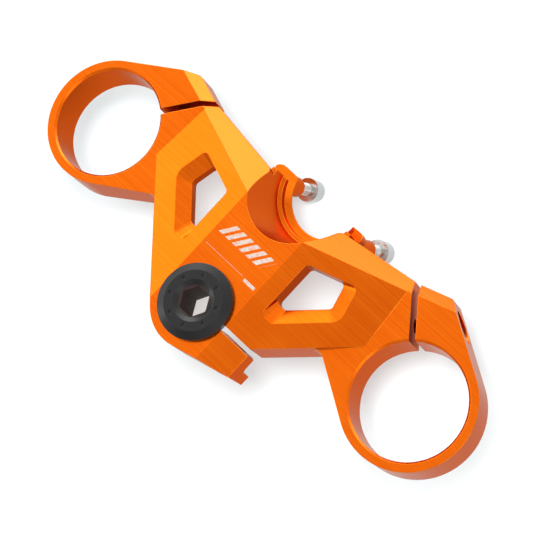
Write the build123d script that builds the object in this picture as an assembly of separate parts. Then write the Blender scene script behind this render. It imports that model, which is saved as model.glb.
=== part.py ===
"""Upper triple clamp of a motorcycle: split fork clamps, split stem clamp and a tilted lock seat.

Origin on the steering axis, in the plane of the stem seat. +X right, +Y front, +Z up. Millimetres.
"""
import os
from math import asin, atan2, cos, degrees, radians, sin, tan

from build123d import *

# Fork clamps
fork_spacing = 206.6
fork_offset = 33.0
fork_bore_r = 27.0
ring_wall = 4.7
ring_top = 11.0
ring_height = 22.0
ring_chamfer = 1.0
arm_angle = 30.0
arm_overlap = 60.0
slit_angle = 130.0
slit_width = 3.0
slit_reach = 54.5
ear_front_angle = 17.0
ear_corner_r = 2.0
fork_bolt_reach = 36.0

# Centre body
panel_top = 19.3
panel_half_width = 18.75
wing_crease_inset = 31.8
wing_rear_rise = 4.4
inner_corner_r = 5.0
belly_half_width = 23.3
belly_end_inset = 15.3
front_angle = 7.4
facet_angle = 41.8
facet_edge_z = 6.0

# Stem clamp
stem_boss_r = 22.6
stem_bore_r = 15.0
stem_slit_width = 3.0
stem_ear_reach = 35.6
stem_ear_angle = 14.3
stem_bolt_x = 26.6
stem_bolt_z = 8.6
relief_depth = 4.0
relief_width = 7.6
relief_height = 7.5
relief_corner_r = 2.5

# Windows in the wings
window_inner_x = 27.0
window_front_gap = 8.3
window_outer_inset = 46.2
window_outer_angle = 104.6
window_rear_gap = 11.2
window_tail = 16.3
window_corner_r = 2.5
window_sweep_r = 7.0
dish_outer_width = 7.3
dish_rear_width = 7.0
dish_tail_width = 8.8
dish_drop = 4.2
dish_over = 0.25
web_thickness = 9.4
pocket_margin = 5.0

# Pinch-bolt holes
bolt_tap_r = 3.4
fork_tap_depth = 20.0
stem_tap_depth = 9.6
bolt_clear_r = 4.25
bolt_seat_r = 7.5
fork_ear_grip = 12.0
stem_ear_grip = 11.0

# Lock seat
lock_y = 68.0
lock_tilt = 15.0
lock_bore_r = 23.5
lock_bore_depth = 26.8
lock_ledge_fall = 0.7
lock_step_r = 21.7
lock_step_height = 3.3
lock_lip_r = 18.9
lock_lip_fall = 2.0
lock_lip_height = 0.7
lock_wall = 5.7
lug_front_y = 75.3
lug_back_y = 71.0
lug_top_z = 1.3
lug_slope = 31.6
lug_shoulder = 2.6
lug_corner_r = 3.6
horn_r = 3.2
lock_screw_x = 24.8
lock_screw_v = -9.2
lock_boss_r = 4.9
lock_boss_depth = 49.4

# Lock screws
screw_r = 3.0
screw_thread_depth = 16.0
screw_hang = 13.0
screw_flange_r = 6.0
screw_flange_height = 1.8
screw_head_r = 5.6
screw_head_height = 6.8
screw_socket_flat = 5.0
screw_socket_depth = 3.6
screw_edge = 0.5
screw_clearance = 0.05

# Hollow stem bolt
nut_flange_r = 18.3
nut_flange_height = 2.2
nut_face_r = 14.5
nut_crown = 1.9
nut_shank_r = 12.0
nut_shank_length = 16.0
nut_recess_r = 10.1
nut_recess_depth = 2.0
nut_recess_taper = 3.1
nut_socket_flat = 13.0
nut_dimple_count = 8
nut_dimple_pcd = 24.2
nut_dimple_r = 1.0
nut_dimple_depth = 0.8
nut_clearance = 0.02

# Worked out from the sizes above
fork_x = fork_spacing / 2
ring_r = fork_bore_r + ring_wall
ring_bottom = ring_top - ring_height
crease_x = fork_x - wing_crease_inset
wing_angle = degrees(atan2(panel_top - ring_top, crease_x - panel_half_width))
reach = 3 * fork_spacing
fork_centre = Vector(fork_x, fork_offset)
lock_step_top = lock_bore_depth + lock_ledge_fall
lock_step_depth = lock_step_top + lock_step_height
lock_lip_depth = lock_step_depth + lock_lip_fall
lock_seat_depth = lock_lip_depth + lock_lip_height
upward = (Align.CENTER, Align.CENTER, Align.MIN)


def heading(angle):
    """Unit vector in plan at an angle from +X."""
    return Vector(cos(radians(angle)), sin(radians(angle)))


def above(origin, normal):
    """Everything on the side of a plane that its normal points to."""
    return Plane(origin=origin, z_dir=normal) * Box(reach, reach, reach, align=upward)


def prism(face, low, high):
    """A plan outline raised from one height to another."""
    return Pos(0, 0, low) * extrude(face, high - low)


def both(solid):
    """A right-hand feature and its mirror image."""
    return solid + mirror(solid, about=Plane.YZ)


def crossing(point_a, angle_a, point_b, angle_b):
    """Where two lines in plan meet."""
    along = heading(angle_a)
    side = heading(angle_b + 90)
    return point_a + along * ((point_b - point_a).dot(side) / along.dot(side))


def at_sides(shape, x, y, z=0.0):
    """What lies nearest to a point on the right and nearest to its mirror image."""
    return [shape.sort_by_distance(Vertex(side * x, y, z))[0] for side in (1, -1)]


slit_end = fork_centre + heading(slit_angle) * slit_reach
tangent_out = heading(90 - arm_angle) * ring_r
ear_corner = crossing(fork_centre + tangent_out, 180 - arm_angle, slit_end, ear_front_angle)
wing_corner = Vector(crease_x, fork_offset + wing_rear_rise)
rear_angle = degrees(atan2(wing_corner.Y, wing_corner.X) + asin(stem_boss_r / wing_corner.length))
rear_tangent = heading(rear_angle - 90) * stem_boss_r
front_centre = crossing(slit_end, front_angle, Vector(0, 0), 90)
horn_y = front_centre.Y + lock_bore_r * tan(radians(front_angle))


def arm_outline():
    """Plan of the right fork ring with its arm and its ear."""
    inner_x = fork_x - arm_overlap
    rear = crossing(fork_centre - tangent_out, 180 - arm_angle, Vector(inner_x, 0), 90)
    arm = make_face(
        Polyline(
            fork_centre + tangent_out,
            ear_corner,
            slit_end,
            Vector(inner_x, fork_offset),
            rear,
            fork_centre - tangent_out,
            close=True,
        )
    )
    corner = arm.vertices().sort_by_distance(Vertex(*ear_corner))[0]
    arm = fillet(corner, ear_corner_r)
    return arm + Pos(fork_x, fork_offset) * Circle(ring_r)


def wing_outline():
    """Plan of the centre body without its stem ear."""
    half = make_face(
        Polyline(
            Vector(0, 0),
            rear_tangent,
            wing_corner,
            slit_end,
            front_centre,
            close=True,
        )
    )
    return both(half) + Circle(stem_boss_r)


def stem_ear_outline():
    """Plan of the stem clamp's ear, behind its slit."""
    foot = heading(stem_ear_angle - 90) * stem_boss_r
    tip = crossing(foot, stem_ear_angle, Vector(stem_ear_reach, 0), 90)
    return make_face(Polyline(Vector(0, 0), foot, tip, Vector(stem_ear_reach, 0), close=True))


def wing_roof(drop=0.0):
    """All that lies above the right wing's sloping top, or above a plane some way under it."""
    normal = (sin(radians(wing_angle)), 0, cos(radians(wing_angle)))
    return above((panel_half_width, 0, panel_top - drop), normal)


def belly():
    """Room under the gull-wing underside: level at the stem, sloping down to the fork rings."""
    end_x = fork_x - belly_end_inset
    section = make_face(
        Polyline(
            (-end_x, ring_bottom),
            (-belly_half_width, 0),
            (belly_half_width, 0),
            (end_x, ring_bottom),
            close=True,
        )
    )
    return extrude(Plane.XZ * section, reach, both=True)


def front_facet(point, angle):
    """All above the bevel that rises from a front edge line."""
    out = heading(angle + 90) * sin(radians(facet_angle))
    return above((point.X, point.Y, facet_edge_z), (out.X, out.Y, cos(radians(facet_angle))))


def facets():
    """The right-hand front bevels: one on the body, one on the ear across the slit."""
    across = heading(slit_angle - 90)
    ear_side = above(fork_centre, across)
    right = above((0, 0, 0), (1, 0, 0))
    body_bevel = (front_facet(slit_end, front_angle) & right) - ear_side
    return body_bevel + (front_facet(slit_end, ear_front_angle) & ear_side)


def facet_crease():
    """Where the crease between the right wing and its front bevel starts, at the centre panel."""
    rise = (panel_top - facet_edge_z) / tan(radians(facet_angle))
    line = slit_end - heading(front_angle + 90) * rise
    return crossing(line, front_angle, Vector(panel_half_width, 0), 90)


def window_outline(sink=0.0, grow=0.0):
    """Plan of the right window; sink runs from 0 at the wing to 1 at the dish's foot."""
    crease_angle = front_angle + degrees(atan2(tan(radians(wing_angle)), tan(radians(facet_angle))))
    front = facet_crease() - heading(crease_angle + 90) * (window_front_gap - grow)
    rear_in = window_rear_gap + sink * dish_rear_width - grow
    rear = rear_tangent + heading(rear_angle + 90) * rear_in
    inner = Vector(window_inner_x - grow, 0)
    outer = Vector(fork_x - window_outer_inset, fork_offset)
    outer -= heading(window_outer_angle - 90) * (sink * dish_outer_width - grow)
    tail = Vector(0, window_tail + sink * dish_tail_width - grow)
    sweep = crossing(outer, window_outer_angle, rear, rear_angle)
    face = make_face(
        Polyline(
            crossing(inner, 90, front, crease_angle),
            crossing(front, crease_angle, outer, window_outer_angle),
            sweep,
            crossing(rear, rear_angle, tail, 0),
            crossing(inner, 90, tail, 0),
            close=True,
        )
    )
    corners = face.vertices().sort_by_distance(Vertex(*sweep))
    face = fillet(corners[1:], window_corner_r)
    corner = face.vertices().sort_by_distance(Vertex(*sweep))[0]
    return fillet(corner, window_sweep_r + sink * (window_corner_r - window_sweep_r))


def dish_level(sink):
    """The window's outline on the plane that lies parallel to the wing at that part of the dish."""
    normal = (sin(radians(wing_angle)), 0, cos(radians(wing_angle)))
    level = Plane(origin=(panel_half_width, 0, panel_top - sink * dish_drop), z_dir=normal)
    column = prism(window_outline(sink), 2 * ring_bottom, 2 * panel_top)
    return (level * Rectangle(reach, reach)) & column


def window():
    """The right window: a through hole with dished rear, outer and tail sides, in a thinned web."""
    dish = loft([dish_level(-dish_over), dish_level(1)], ruled=True)
    hole = prism(window_outline(1), 2 * ring_bottom, panel_top)
    pocket = prism(window_outline(grow=pocket_margin), 2 * ring_bottom, panel_top)
    pocket -= wing_roof(web_thickness)
    return dish + hole + pocket


def lock_frame():
    """Plane of the lock: +Z up its tilted axis, +Y to the front."""
    tilt = radians(lock_tilt)
    return Plane(origin=(0, lock_y, panel_top), x_dir=(1, 0, 0), z_dir=(0, -sin(tilt), cos(tilt)))


def along_lock(radius, high, low, x=0.0, v=0.0):
    """A cylinder along the lock's axis between two depths below the centre panel."""
    return lock_frame() * Pos(x, v, -low) * Cylinder(radius, low - high, align=upward)


def lock_taper(high_r, low_r, high, low):
    """A cone along the lock's axis that narrows from one depth to a lower one."""
    return lock_frame() * Pos(0, 0, -low) * Cone(low_r, high_r, low - high, align=upward)


def lug_room():
    """All above the right lug's top, which slopes down to the lip in front of a low shoulder."""
    tilt = radians(lock_tilt)
    toe_z = panel_top - (lock_lip_depth - (lug_front_y - lock_y) * sin(tilt)) / cos(tilt)
    slope = radians(lug_slope)
    room = above((lock_lip_r, 0, toe_z), (-sin(slope), 0, cos(slope)))
    room &= above((0, horn_y, 0), (0, 1, 0)) & above((0, 0, 0), (1, 0, 0))
    corner = Pos(lock_bore_r + lug_shoulder, lug_back_y, 0)
    return room - corner * Box(reach, reach, reach, align=(Align.MAX, Align.MAX, Align.CENTER))


def lock_holder():
    """The half barrel that carries the lock, with its two sloping lugs and its screw bosses."""
    outer_r = lock_bore_r + lock_wall
    block = Pos(0, lug_front_y, lug_top_z) * Box(
        2 * outer_r, 2 * outer_r, 2 * lock_seat_depth, align=(Align.CENTER, Align.MAX, Align.MAX)
    )
    block = fillet(block.edges().filter_by(Axis.Z).group_by(Axis.Y)[-1], lug_corner_r)
    barrel = (along_lock(outer_r, 0, lock_seat_depth) & block) - both(lug_room())
    tilt = radians(lock_tilt)
    boss_top = (panel_top + lock_screw_v * sin(tilt)) / cos(tilt) - lock_boss_r
    boss = along_lock(lock_boss_r, boss_top, lock_boss_depth, lock_screw_x, lock_screw_v)
    return barrel + both(boss)


def lock_bores():
    """The stepped bore of the lock and the two screw holes."""
    bore = along_lock(lock_bore_r, -reach, lock_bore_depth)
    bore += lock_taper(lock_bore_r, lock_step_r, lock_bore_depth, lock_step_top)
    bore += along_lock(lock_step_r, 0, lock_step_depth)
    bore += lock_taper(lock_step_r, lock_lip_r, lock_step_depth, lock_lip_depth)
    bore += along_lock(lock_lip_r, 0, lock_seat_depth + lock_wall)
    hole_top = lock_boss_depth - screw_thread_depth - screw_r
    hole = along_lock(screw_r + screw_clearance, hole_top, reach, lock_screw_x, lock_screw_v)
    return bore + both(hole)


def pinch_hole(plane, grip, tap_depth):
    """Holes of one pinch bolt: seat and clear hole outwards from the slit, thread inwards."""
    seat = Pos(0, 0, grip) * Cylinder(bolt_seat_r, ring_r, align=upward)
    clear = Cylinder(bolt_clear_r, grip, align=upward)
    thread = Pos(0, 0, -tap_depth) * Cylinder(bolt_tap_r, tap_depth, align=upward)
    return plane * (seat + clear + thread)


def fork_clamp_cuts():
    """Bore, slit and pinch-bolt holes of the right fork clamp."""
    length = slit_reach + ring_r
    middle = ring_top - ring_height / 2
    at_fork = Pos(fork_x, fork_offset, middle)
    bore = at_fork * Cylinder(fork_bore_r, 2 * ring_height)
    lips = Pos(fork_x, fork_offset, 0) * (
        Pos(0, 0, ring_top - ring_chamfer)
        * Cone(fork_bore_r, fork_bore_r + ring_chamfer, ring_chamfer, align=upward)
        + Pos(0, 0, ring_bottom)
        * Cone(fork_bore_r + ring_chamfer, fork_bore_r, ring_chamfer, align=upward)
    )
    slit = at_fork * Rot(0, 0, slit_angle) * Pos(length / 2, 0, 0) * Box(
        length, slit_width, 2 * ring_height
    )
    bolt = fork_centre + heading(slit_angle) * fork_bolt_reach
    across = heading(slit_angle - 90)
    at_bolt = Plane(origin=(bolt.X, bolt.Y, middle), z_dir=across)
    holes = pinch_hole(at_bolt, fork_ear_grip, fork_tap_depth)
    return bore + lips + slit + holes


def stem_clamp_cuts():
    """Bore, slit, pinch-bolt holes and corner relief of the stem clamp."""
    bore = Cylinder(stem_bore_r, 4 * panel_top)
    slit = Pos(stem_ear_reach, 0, 0) * Box(2 * stem_ear_reach, stem_slit_width, 4 * panel_top)
    slit &= above((0, 0, 0), (1, 0, 0))
    at_bolt = Plane(origin=(stem_bolt_x, 0, stem_bolt_z), z_dir=(0, -1, 0))
    holes = pinch_hole(at_bolt, stem_ear_grip, stem_tap_depth)
    edge = stem_slit_width / 2
    relief = Pos(stem_ear_reach - relief_depth, -edge - relief_width, relief_height) * Box(
        2 * relief_depth, relief_width + edge, panel_top, align=(Align.MIN, Align.MIN, Align.MAX)
    )
    corner = relief.edges().filter_by(Axis.X).group_by(Axis.Z)[-1].sort_by(Axis.Y)[0]
    return bore + slit + holes + fillet(corner, relief_corner_r)


def clamp_body():
    """The machined clamp."""
    centre = wing_outline() + stem_ear_outline()
    lower = centre + both(arm_outline())
    nook = crossing(fork_centre - tangent_out, 180 - arm_angle, rear_tangent, rear_angle)
    lower = fillet(at_sides(lower.vertices(), nook.X, nook.Y), inner_corner_r)
    raised = prism(centre, 0, panel_top) - both(wing_roof() & above((0, 0, 0), (1, 0, 0)))
    body = prism(lower, ring_bottom, ring_top) + raised
    body -= belly()
    body -= along_lock(lock_bore_r, -reach, lock_bore_depth)
    body = fillet(at_sides(body.edges(), lock_bore_r, horn_y, facet_edge_z), horn_r)
    body -= both(facets())
    body -= both(window())
    body += lock_holder()
    body -= lock_bores()
    body -= both(fork_clamp_cuts())
    body -= stem_clamp_cuts()
    return body


def polygon_bar(flat, sides, depth):
    """A prism of some sides across flats, standing on its lower face."""
    return extrude(RegularPolygon(flat / 2, sides, major_radius=False), depth)


def stem_nut():
    """The hollow stem bolt: flanged head with a conical crown, open hexagon and plain shank."""
    top = nut_flange_height + nut_crown
    profile = make_face(
        Polyline(
            (0, -nut_shank_length),
            (nut_shank_r, -nut_shank_length),
            (nut_shank_r, nut_clearance),
            (nut_flange_r, nut_clearance),
            (nut_flange_r, nut_flange_height),
            (nut_face_r, top),
            (nut_recess_r, top),
            (nut_recess_r - nut_recess_taper, top - nut_recess_depth),
            (0, top - nut_recess_depth),
            close=True,
        )
    )
    bolt = revolve(Plane.XZ * profile, Axis.Z)
    bolt -= Pos(0, 0, -nut_shank_length) * polygon_bar(nut_socket_flat, 6, nut_shank_length + top)
    dimple = Pos(0, 0, top - nut_dimple_depth) * polygon_bar(2 * nut_dimple_r, 8, nut_dimple_depth)
    half_turn = 180 / nut_dimple_count
    bolt -= PolarLocations(nut_dimple_pcd / 2, nut_dimple_count, start_angle=half_turn) * dimple
    return Pos(0, 0, panel_top) * bolt


def lock_screw():
    """The right lock screw, with its head under the boss."""
    flange_depth = lock_boss_depth + screw_hang
    head_end = flange_depth + screw_flange_height + screw_head_height
    shank = along_lock(
        screw_r, lock_boss_depth - screw_thread_depth, flange_depth, lock_screw_x, lock_screw_v
    )
    flange = along_lock(
        screw_flange_r, flange_depth, flange_depth + screw_flange_height, lock_screw_x, lock_screw_v
    )
    head = Cylinder(screw_head_r, screw_head_height, align=upward)
    head = chamfer(head.edges().group_by(Axis.Z)[0], screw_edge)
    head -= polygon_bar(screw_socket_flat, 6, screw_socket_depth)
    return shank + flange + lock_frame() * Pos(lock_screw_x, lock_screw_v, -head_end) * head


def main():
    os.makedirs("parts", exist_ok=True)
    right_screw = lock_screw()
    parts = {
        "clamp_body": clamp_body(),
        "stem_nut": stem_nut(),
        "lock_screw_right": right_screw,
        "lock_screw_left": mirror(right_screw, about=Plane.YZ),
    }
    for name, part in parts.items():
        export_step(part, f"parts/{name}.step")


main()
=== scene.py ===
"""Looks of the motorcycle triple clamp: anodised and plated metal, pale floor, soft light, camera."""

import math

import bpy
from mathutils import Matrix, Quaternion, Vector


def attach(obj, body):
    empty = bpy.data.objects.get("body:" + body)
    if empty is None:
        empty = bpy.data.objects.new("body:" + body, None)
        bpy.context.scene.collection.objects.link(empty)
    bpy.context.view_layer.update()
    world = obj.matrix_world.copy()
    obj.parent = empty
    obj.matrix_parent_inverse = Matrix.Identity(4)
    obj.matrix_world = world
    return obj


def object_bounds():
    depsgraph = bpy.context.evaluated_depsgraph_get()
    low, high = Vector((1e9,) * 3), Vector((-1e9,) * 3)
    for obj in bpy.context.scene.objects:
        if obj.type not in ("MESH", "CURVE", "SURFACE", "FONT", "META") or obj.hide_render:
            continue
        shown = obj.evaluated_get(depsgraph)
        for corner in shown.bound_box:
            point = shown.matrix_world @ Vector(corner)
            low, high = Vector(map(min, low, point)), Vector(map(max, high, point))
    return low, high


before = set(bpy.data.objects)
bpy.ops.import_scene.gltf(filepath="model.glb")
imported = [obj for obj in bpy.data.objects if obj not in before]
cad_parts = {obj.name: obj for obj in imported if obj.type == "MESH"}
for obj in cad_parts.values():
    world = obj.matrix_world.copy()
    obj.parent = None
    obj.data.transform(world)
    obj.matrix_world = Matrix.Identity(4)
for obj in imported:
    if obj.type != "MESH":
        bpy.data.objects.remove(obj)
cad_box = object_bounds()

# Camera: place in metres, lens and sensor in millimetres
CAMERA_PLACE = Vector((0.319546, 0.040965, 0.738847))
CAMERA_FORWARD = Vector((-0.38471, -0.00912, -0.92299))
CAMERA_ROLL = math.radians(-48.5547)
CAMERA_LENS = 112.483
CAMERA_SENSOR = 36.0
CAMERA_REACH = 50.0

# Key light, in metres and watts
KEY_PLACE = Vector((0.2, 0.05, 0.8))
KEY_SIZE = 0.3
KEY_POWER = 8.8

# Dome: brightness, and the spans of direction over which it changes
DOME_OVERHEAD = 0.74
DOME_LEFT = 1.02
DOME_LEFT_X = (-0.25, 0.0)
DOME_FRONT_LIFT = 0.2
DOME_FRONT_Y = (0.3, 0.7)
DOME_SCATTERED = 0.35
REAR_DIP = 0.4
REAR_DIP_X = (0.2, 0.4)
REAR_DIP_Y = (-0.65, -0.45)
REAR_DIP_Z = (0.25, 0.45)
LEFT_BOX = 1.9
LEFT_BOX_X = (-0.72, -0.56)
LEFT_BOX_Y = (0.0, 0.5)
LEFT_BOX_FOOT = 0.2
LEFT_BOX_FOOT_X = (-0.84, -0.72)
RIGHT_BOX = 1.0
RIGHT_BOX_X = (0.4, 0.7)
RIGHT_BOX_Y = (0.1, 0.45)
FRONT_BOX = 2.9
FRONT_BOX_WAY = (-0.5, 0.866, 0.0)
FRONT_BOX_AHEAD = (0.55, 0.95)
FRONT_BOX_TOP_Z = (0.2, 0.6)
FRONT_BOX_FOOT_Z = (0.0, 0.12)

# Floor, in metres: the share of plain white near the clamp, and the distances over which it grows to all
FLOOR_HALF = 6.0
FLOOR_NEAR_WHITE = 0.42
FLOOR_GROWTH = (0.22, 0.6)

# Clamp sizes that the surface patterns follow, in metres
PANEL_TOP = 0.0193
PANEL_HALF_WIDTH = 0.01875
LOCK_TILT = math.radians(15.0)
LOCK_PLACE = Vector((0.0, 0.068, PANEL_TOP))
LOCK_AXIS = Vector((0.0, -math.sin(LOCK_TILT), math.cos(LOCK_TILT)))
LOCK_FORWARD = Vector((0.0, math.cos(LOCK_TILT), math.sin(LOCK_TILT)))
SCREW_X = 0.0248
SCREW_V = -0.0092
SCREW_FLANGE_DEPTH = 0.0624
SCREW_FLANGE_FACE = 0.0003
NUT_HEXAGON_R = 0.0077

# Thread of the lock screws, in metres; its foot and its flat are shares of the pitch
THREAD_CORNERS = 4
THREAD_PITCH = 0.001
THREAD_TURNS = 11
THREAD_STEPS = 24
THREAD_END_STEPS = 18
THREAD_ROOT_R = 0.0029
THREAD_CREST_R = 0.00325
THREAD_START = 0.0612
THREAD_FOOT = 0.45
THREAD_FLAT = 0.1

# Print on the centre panel, in metres; the fill of a bar and its soft border are shares of the pitch
PRINT_MARGIN = 0.0015
PRINT_SOFT = 0.0001
PRINT_DEPTH = 0.0002
PRINT_WEAR_SCALE = 900.0
LINE_X = (-0.0170, 0.0084)
LINE_Y = (0.02325, 0.02365)
LINE_STRENGTH = 0.4
DASH_X = (0.0098, 0.0170)
DASH_Y = (0.0218, 0.0234)
BARS_X = (-0.0164, 0.0112)
BARS_Y = (0.0312, 0.0384)
BAR_FOOT_Y = 0.031
BAR_SLANT = 0.75
BAR_SHIFT = 0.1
BAR_PITCH = 0.0046
BAR_FILL = (0.16, 0.74)
BAR_SOFT = 0.03

# Spans of a face's normal: along the plain face at an edge, upwards on a top, forwards on a facet
EDGE_MEETING = (0.9, 0.995)
TOP_UPRIGHT = (0.15, 0.4)
FACET_FORWARD = (0.45, 0.6)

# Surface detail: edge rounding in metres, pattern scales per metre
ORANGE_ROUNDING = 0.00045
BLACK_ROUNDING = 0.00035
ZINC_ROUNDING = 0.0003
LINES_ON_TOPS = (7.0, 1900.0, 20.0)
LINES_ON_WALLS = (14.0, 14.0, 1300.0)
PATCH_SCALE = 45.0
EDGE_WEAR_AND_HIGHLIGHT_SCALE = 160.0
TURNING_SCALE = 2600.0
TURNING_SLOPE = 0.7
BLACK_GRAIN_SCALE = 700.0
ZINC_GRAIN_SCALE = 420.0
ZINC_FINE_SCALE = 2600.0

# Colours, linear
ORANGE = (0.94, 0.17, 0.005, 1.0)
ORANGE_DEEP = (0.84, 0.122, 0.002, 1.0)
# Front facets: a paler tone that is a painted highlight
ORANGE_FACET_PAINTED_HIGHLIGHT = (0.94, 0.155, 0.015, 1.0)
# Walls: a darker tone that is painted shade
ORANGE_WALL_PAINTED_SHADE = (0.58, 0.08, 0.005, 1.0)
# Edges: lighter orange, partly wear and partly a painted highlight
ORANGE_WORN_AND_PAINTED_HIGHLIGHT = (1.0, 0.33, 0.03, 1.0)
ORANGE_EDGE_TINT = (0.64, 0.48, 0.41, 1.0)
PRINT_PALE = (0.46, 0.51, 0.48, 1.0)
BLACK = (0.003, 0.0029, 0.0029, 1.0)
BLACK_WORN = (0.03, 0.029, 0.029, 1.0)
# Inside the nut's hexagon: dark brown that is painted shade
BLACK_HEXAGON_PAINTED_SHADE = (0.03, 0.016, 0.013, 1.0)
ZINC = (0.7, 0.7, 0.69, 1.0)
ZINC_WARM = (0.62, 0.59, 0.55, 1.0)
# Screw edges: darker grey that is a painted dark reflection
ZINC_EDGE_PAINTED_DARK_REFLECTION = (0.3, 0.3, 0.31, 1.0)
# Screw heads: darker grey that is a painted dark reflection
ZINC_HEAD_PAINTED_DARK_REFLECTION = (0.46, 0.46, 0.46, 1.0)
FLOOR = (0.82, 0.9, 0.91, 1.0)
WHITE = (1.0, 1.0, 1.0, 1.0)


class Nodes:
    """Builds one node tree: a value that is a socket is linked, any other is set on the input."""

    def __init__(self, tree):
        self.tree = tree

    def add(self, kind, inputs=None, **settings):
        made = self.tree.nodes.new(kind)
        for name, value in settings.items():
            setattr(made, name, value)
        self.fill(made, inputs or {})
        return made

    def fill(self, node, inputs):
        for name, value in inputs.items():
            self.put(node.inputs[name], value)

    def put(self, socket, value):
        if isinstance(value, bpy.types.NodeSocket):
            self.tree.links.new(value, socket)
        else:
            socket.default_value = value

    def axes(self, vector):
        return self.add("ShaderNodeSeparateXYZ", {0: vector}).outputs

    def math(self, operation, *values):
        inputs = dict(enumerate(values))
        return self.add("ShaderNodeMath", inputs, operation=operation).outputs[0]

    def product(self, first, *others):
        for other in others:
            first = self.math("MULTIPLY", first, other)
        return first

    def weigh(self, *parts):
        """The sum of values, each times its weight."""
        total, *terms = [self.math("MULTIPLY", value, weight) for value, weight in parts]
        for term in terms:
            total = self.math("ADD", total, term)
        return total

    def vector(self, operation, *values):
        made = self.add("ShaderNodeVectorMath", dict(enumerate(values)), operation=operation)
        return made.outputs["Value" if operation in ("DOT_PRODUCT", "LENGTH") else "Vector"]

    def span(self, value, low, high, start=0.0, end=1.0):
        """Maps low..high smoothly to start..end."""
        made = self.add("ShaderNodeMapRange", interpolation_type="SMOOTHSTEP")
        numbers = (value, low, high, start, end)
        names = ("Value", "From Min", "From Max", "To Min", "To Max")
        self.fill(made, dict(zip(names, numbers)))
        return made.outputs["Result"]

    def mix(self, factor, first, second):
        made = self.add("ShaderNodeMix", data_type="RGBA")
        self.fill(made, {"Factor": factor, 6: first, 7: second})
        return made.outputs[2]

    def blend(self, factor, first, second):
        made = self.add("ShaderNodeMix", data_type="FLOAT")
        self.fill(made, {"Factor": factor, 2: first, 3: second})
        return made.outputs[0]

    def noise(self, place, scale, detail=2.0, roughness=0.5):
        inputs = {"Vector": place, "Scale": scale, "Detail": detail, "Roughness": roughness}
        return self.add("ShaderNodeTexNoise", inputs).outputs[0]

    def inside(self, value, low, high, soft):
        """1 where low < value < high, with soft borders."""
        rise = self.span(value, low - soft, low + soft)
        fall = self.span(value, high - soft, high + soft, 1.0, 0.0)
        return self.math("MULTIPLY", rise, fall)

    def bump(self, height, normal, strength, distance):
        inputs = {"Strength": strength, "Distance": distance, "Height": height, "Normal": normal}
        return self.add("ShaderNodeBump", inputs).outputs[0]


def new_material(name):
    material = bpy.data.materials.new(name)
    material.use_nodes = True
    return material, Nodes(material.node_tree), material.node_tree.nodes["Principled BSDF"]


def add_object(name, data):
    made = bpy.data.objects.new(name, data)
    bpy.context.scene.collection.objects.link(made)
    return made


def edge_mask(nodes, radius):
    """A normal rounded over the edges, and a mask of where it departs from the face."""
    rounded = nodes.add("ShaderNodeBevel", {"Radius": radius}, samples=8).outputs[0]
    plain = nodes.add("ShaderNodeNewGeometry").outputs["Normal"]
    meeting = nodes.vector("DOT_PRODUCT", rounded, plain)
    return rounded, nodes.span(meeting, *EDGE_MEETING, 1.0, 0.0)


def print_patch(nodes, across, along, across_span, along_span):
    """1 inside a rectangle of the print."""
    return nodes.product(nodes.inside(across, *across_span, PRINT_SOFT),
                         nodes.inside(along, *along_span, PRINT_SOFT))


def print_mask(nodes, place):
    """Plain slanted bars, a thin line and a short bar on the centre panel, worn in places."""
    x, y, z = nodes.axes(place)
    line = nodes.math("MULTIPLY", print_patch(nodes, x, y, LINE_X, LINE_Y), LINE_STRENGTH)
    dash = print_patch(nodes, x, y, DASH_X, DASH_Y)
    lean = nodes.math("MULTIPLY", nodes.math("SUBTRACT", y, BAR_FOOT_Y), BAR_SLANT)
    slant = nodes.math("SUBTRACT", x, lean)
    bars = nodes.math("FRACT", nodes.math("MULTIPLY", nodes.math("ADD", slant, BAR_SHIFT), 1 / BAR_PITCH))
    bars = nodes.inside(bars, *BAR_FILL, BAR_SOFT)
    field = print_patch(nodes, slant, y, BARS_X, BARS_Y)
    on_panel = nodes.math("LESS_THAN", x, PANEL_HALF_WIDTH - PRINT_MARGIN)
    marks = nodes.math("MAXIMUM", nodes.product(bars, field, on_panel), nodes.math("MAXIMUM", line, dash))
    on_top = nodes.math("GREATER_THAN", z, PANEL_TOP - PRINT_DEPTH)
    worn = nodes.span(nodes.noise(place, PRINT_WEAR_SCALE, 3.0, 0.6), 0.28, 0.62, 0.45, 0.95)
    return nodes.product(marks, on_top, worn)


def milling(nodes, place, upright):
    """Cutter lines, along X on the tops and level on the walls, and a mask of the tops."""
    along = nodes.add("ShaderNodeMapping", {"Vector": place, "Scale": LINES_ON_TOPS}).outputs[0]
    level = nodes.add("ShaderNodeMapping", {"Vector": place, "Scale": LINES_ON_WALLS}).outputs[0]
    top = nodes.span(nodes.math("ABSOLUTE", upright), *TOP_UPRIGHT)
    lines = nodes.blend(top, nodes.noise(level, 1.0, 3.0, 0.6), nodes.noise(along, 1.0, 3.0, 0.6))
    return lines, top


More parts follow.
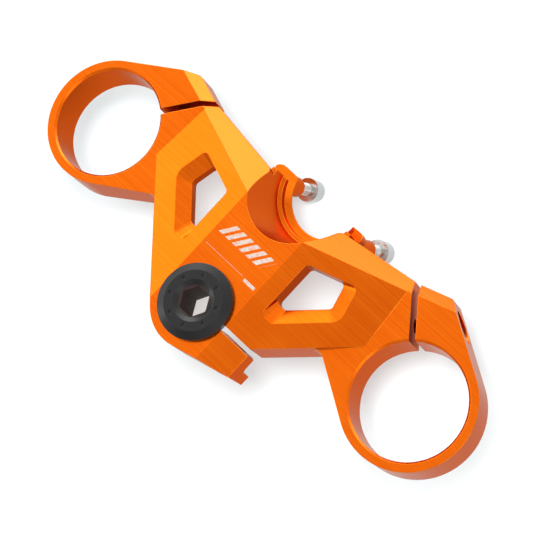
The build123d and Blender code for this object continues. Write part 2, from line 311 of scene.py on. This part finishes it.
def orange_anodised():
    """Milled and anodised orange, with painted shade on the walls and a painted highlight on the front
    facets; its edges are rubbed and carry a painted highlight.
    """
    material, nodes, shader = new_material("anodised_orange")
    coordinates = nodes.add("ShaderNodeTexCoord").outputs
    place = coordinates["Object"]
    forward, upright = nodes.axes(coordinates["Normal"])[1:]
    lines, top = milling(nodes, place, upright)
    rounded, edges = edge_mask(nodes, ORANGE_ROUNDING)
    patches = nodes.noise(place, PATCH_SCALE, 3.0)
    shade = nodes.weigh((lines, 0.7), (patches, 0.3))
    colour = nodes.mix(nodes.span(shade, 0.3, 0.7), ORANGE_DEEP, ORANGE)
    # Painted highlight: front facets take a paler tone
    colour = nodes.mix(nodes.span(forward, *FACET_FORWARD), colour, ORANGE_FACET_PAINTED_HIGHLIGHT)
    # Painted shade: walls take a darker tone
    colour = nodes.mix(top, ORANGE_WALL_PAINTED_SHADE, colour)
    # Edges: lighter orange in patches, partly wear and partly a painted highlight
    wear_and_highlight = nodes.span(nodes.noise(place, EDGE_WEAR_AND_HIGHLIGHT_SCALE, 3.0), 0.3, 0.65, 0.25, 0.8)
    colour = nodes.mix(nodes.product(edges, wear_and_highlight), colour, ORANGE_WORN_AND_PAINTED_HIGHLIGHT)
    marks = print_mask(nodes, place)
    rough = nodes.weigh((lines, 0.16), (patches, 0.08), (marks, 0.2))
    nodes.fill(shader, {
        "Base Color": nodes.mix(marks, colour, PRINT_PALE),
        "Metallic": nodes.math("SUBTRACT", 1.0, nodes.math("MULTIPLY", marks, 0.9)),
        "Roughness": nodes.math("ADD", rough, 0.12),
        "Specular Tint": ORANGE_EDGE_TINT,
        "Coat Weight": 0.12,
        "Coat Roughness": 0.25,
        "Coat IOR": 1.25,
        "Normal": nodes.bump(lines, rounded, strength=0.26, distance=0.00006),
    })
    return material


def black_anodised():
    """Turned and anodised black, rubbed at the edges, with painted shade inside the hexagon: dark brown
    and dull there.
    """
    material, nodes, shader = new_material("anodised_black")
    place = nodes.add("ShaderNodeTexCoord").outputs["Object"]
    radius = nodes.vector("LENGTH", nodes.vector("MULTIPLY", place, (1.0, 1.0, 0.0)))
    ring = nodes.math("ADD", radius, nodes.math("MULTIPLY", nodes.axes(place)[2], TURNING_SLOPE))
    turning = {"W": nodes.math("MULTIPLY", ring, TURNING_SCALE), "Scale": 1.0, "Detail": 3.0}
    turned = nodes.add("ShaderNodeTexNoise", turning, noise_dimensions="1D").outputs[0]
    rounded, edges = edge_mask(nodes, BLACK_ROUNDING)
    grain = nodes.noise(place, BLACK_GRAIN_SCALE, 3.0)
    rubbed = nodes.product(edges, nodes.span(grain, 0.35, 0.7, 0.2, 0.9))
    tone = nodes.weigh((rubbed, 0.8), (turned, 0.18))
    rough = nodes.weigh((turned, 0.14), (grain, 0.1))
    # Painted shade: dark brown inside the hexagon
    hexagon = nodes.math("LESS_THAN", radius, NUT_HEXAGON_R)
    nodes.fill(shader, {
        "Base Color": nodes.mix(hexagon, nodes.mix(tone, BLACK, BLACK_WORN), BLACK_HEXAGON_PAINTED_SHADE),
        "Roughness": nodes.blend(hexagon, nodes.math("ADD", rough, 0.14), 0.75),
        "Specular IOR Level": 0.38,
        "Normal": nodes.bump(turned, rounded, strength=0.22, distance=0.00005),
    })
    return material


def zinc_plated():
    """Bright zinc with a warm bloom; a painted dark reflection darkens the screw heads and their edges.
    """
    material, nodes, shader = new_material("zinc")
    place = nodes.add("ShaderNodeTexCoord").outputs["Object"]
    below = nodes.vector("SUBTRACT", LOCK_PLACE[:], place)
    depth = nodes.vector("DOT_PRODUCT", below, LOCK_AXIS[:])
    rounded, edges = edge_mask(nodes, ZINC_ROUNDING)
    grain = nodes.noise(place, ZINC_GRAIN_SCALE, 3.0)
    fine = nodes.noise(place, ZINC_FINE_SCALE, 2.0)
    colour = nodes.mix(nodes.span(grain, 0.4, 0.68), ZINC, ZINC_WARM)
    # Painted dark reflection: darker grey on the heads
    head = nodes.math("GREATER_THAN", depth, SCREW_FLANGE_DEPTH + SCREW_FLANGE_FACE)
    colour = nodes.mix(head, colour, ZINC_HEAD_PAINTED_DARK_REFLECTION)
    nodes.fill(shader, {
        # Painted dark reflection: darker grey along the edges
        "Base Color": nodes.mix(edges, colour, ZINC_EDGE_PAINTED_DARK_REFLECTION),
        "Metallic": 1.0,
        "Roughness": nodes.span(grain, 0.3, 0.7, 0.12, 0.2),
        "Normal": nodes.bump(fine, rounded, strength=0.1, distance=0.00003),
    })
    return material


def make_thread(name, screw_x, material):
    """The thread on the bare length of a lock screw: one closed ridge wound up its shank."""
    last = THREAD_TURNS * THREAD_STEPS
    points = []
    for step in range(last + 1):
        angle = 2 * math.pi * step / THREAD_STEPS
        grown = min(1.0, (step + 1) / THREAD_END_STEPS, (last - step + 1) / THREAD_END_STEPS)
        crest = THREAD_ROOT_R + (THREAD_CREST_R - THREAD_ROOT_R) * grown
        radii = (THREAD_ROOT_R, crest, crest, THREAD_ROOT_R)
        offsets = (-THREAD_FOOT, -THREAD_FLAT, THREAD_FLAT, THREAD_FOOT)
        for radius, offset in zip(radii, offsets):
            sideways = Vector((radius * math.cos(angle) + screw_x, 0.0, 0.0))
            forward = LOCK_FORWARD * (radius * math.sin(angle) + SCREW_V)
            depth = THREAD_START - (step / THREAD_STEPS + offset) * THREAD_PITCH
            points.append(LOCK_PLACE + sideways + forward - LOCK_AXIS * depth)
    end = THREAD_CORNERS * last
    faces = [(0, 1, 2, 3), (end + 3, end + 2, end + 1, end)]
    for first in range(0, end, THREAD_CORNERS):
        second = first + THREAD_CORNERS
        for corner in range(THREAD_CORNERS):
            after = (corner + 1) % THREAD_CORNERS
            faces.append((second + corner, second + after, first + after, first + corner))
    mesh = bpy.data.meshes.new(name)
    mesh.from_pydata(points, [], faces)
    mesh.shade_smooth()
    mesh.materials.append(material)
    thread = add_object(name, mesh)
    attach(thread, "root")


def floor_material():
    """White to the eye and to metal, with part of the object's shadow near it."""
    material, nodes, shader = new_material("floor")
    tree = material.node_tree
    tree.nodes.remove(shader)
    rays = nodes.add("ShaderNodeLightPath").outputs
    seen = nodes.math("MAXIMUM", rays["Is Camera Ray"],
                      nodes.math("MAXIMUM", rays["Is Glossy Ray"], rays["Is Transmission Ray"]))
    diffuse = nodes.add("ShaderNodeBsdfDiffuse", {"Color": FLOOR}).outputs[0]
    glow = nodes.add("ShaderNodeEmission", {"Color": WHITE, "Strength": 1.0}).outputs[0]
    distance = nodes.vector("LENGTH", nodes.add("ShaderNodeNewGeometry").outputs["Position"])
    share = nodes.product(seen, nodes.span(distance, *FLOOR_GROWTH, FLOOR_NEAR_WHITE, 1.0))
    mixed = nodes.add("ShaderNodeMixShader", {0: share, 1: diffuse, 2: glow}).outputs[0]
    tree.links.new(mixed, tree.nodes["Material Output"].inputs["Surface"])
    return material


def make_floor(level):
    low, high = -FLOOR_HALF, FLOOR_HALF
    corners = [(low, low, level), (high, low, level), (high, high, level), (low, high, level)]
    mesh = bpy.data.meshes.new("floor")
    mesh.from_pydata(corners, [], [(0, 1, 2, 3)])
    mesh.materials.append(floor_material())
    floor = add_object("floor", mesh)


def make_world():
    """A studio dome: more from the left, less from the rear, three soft boxes, dimmer once scattered."""
    world = bpy.data.worlds.new("studio")
    world.use_nodes = True
    bpy.context.scene.world = world
    nodes = Nodes(world.node_tree)
    way = nodes.add("ShaderNodeTexCoord").outputs["Generated"]
    x, y, z = nodes.axes(way)
    level = nodes.math("ADD", nodes.span(x, *DOME_LEFT_X, DOME_LEFT, DOME_OVERHEAD),
                       nodes.span(y, *DOME_FRONT_Y, 0.0, DOME_FRONT_LIFT))
    rear = nodes.product(nodes.span(y, *REAR_DIP_Y, REAR_DIP, 0.0), nodes.span(z, *REAR_DIP_Z),
                         nodes.span(nodes.math("ABSOLUTE", x), *REAR_DIP_X, 1.0, 0.0))
    level = nodes.math("MULTIPLY", level, nodes.math("SUBTRACT", 1.0, rear))
    left = nodes.product(nodes.span(x, *LEFT_BOX_X, LEFT_BOX, 0.0), nodes.span(y, *LEFT_BOX_Y, 1.0, 0.0),
                         nodes.span(x, *LEFT_BOX_FOOT_X, LEFT_BOX_FOOT, 1.0))
    right = nodes.product(nodes.span(x, *RIGHT_BOX_X, 0.0, RIGHT_BOX),
                          nodes.span(nodes.math("ABSOLUTE", y), *RIGHT_BOX_Y, 1.0, 0.0))
    ahead = nodes.vector("DOT_PRODUCT", way, FRONT_BOX_WAY)
    front = nodes.product(nodes.span(ahead, *FRONT_BOX_AHEAD, 0.0, FRONT_BOX),
                          nodes.span(z, *FRONT_BOX_TOP_Z, 1.0, 0.0), nodes.span(z, *FRONT_BOX_FOOT_Z))
    dome = nodes.math("ADD", nodes.math("ADD", level, right), nodes.math("ADD", left, front))
    bounces = nodes.add("ShaderNodeLightPath").outputs["Diffuse Depth"]
    scattered = nodes.math("GREATER_THAN", bounces, 0.5)
    dome = nodes.math("MULTIPLY", dome, nodes.blend(scattered, 1.0, DOME_SCATTERED))
    nodes.fill(world.node_tree.nodes["Background"], {"Strength": dome, "Color": WHITE})


def make_key():
    """A softbox above that throws the floor's shadow and leaves the metal to the dome."""
    data = bpy.data.lights.new("key", "AREA")
    data.shape = "DISK"
    data.size = KEY_SIZE
    data.energy = KEY_POWER
    key = add_object("key", data)
    key.visible_camera = False
    key.visible_glossy = False
    key.location = KEY_PLACE
    key.rotation_mode = "QUATERNION"
    key.rotation_quaternion = (-KEY_PLACE).to_track_quat("-Z", "Y")


def make_camera():
    data = bpy.data.cameras.new("camera")
    data.lens = CAMERA_LENS
    data.sensor_width = CAMERA_SENSOR
    data.clip_end = CAMERA_REACH
    camera = add_object("camera", data)
    camera.location = CAMERA_PLACE
    camera.rotation_mode = "QUATERNION"
    roll = Quaternion((0.0, 0.0, 1.0), CAMERA_ROLL)
    camera.rotation_quaternion = CAMERA_FORWARD.to_track_quat("-Z", "Y") @ roll
    bpy.context.scene.camera = camera


def dress(node, material):
    """Gives a CAD node its material."""
    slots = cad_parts[node].data.materials
    slots.clear()
    slots.append(material)


bpy.context.scene.view_settings.view_transform = "Standard"
make_camera()
make_world()
make_key()
make_floor(cad_box[0].z)
dress("clamp_body", orange_anodised())
dress("stem_nut", black_anodised())
zinc = zinc_plated()
dress("lock_screw_left", zinc)
dress("lock_screw_right", zinc)
make_thread("lock_screw_left_thread", -SCREW_X, zinc)
make_thread("lock_screw_right_thread", SCREW_X, zinc)
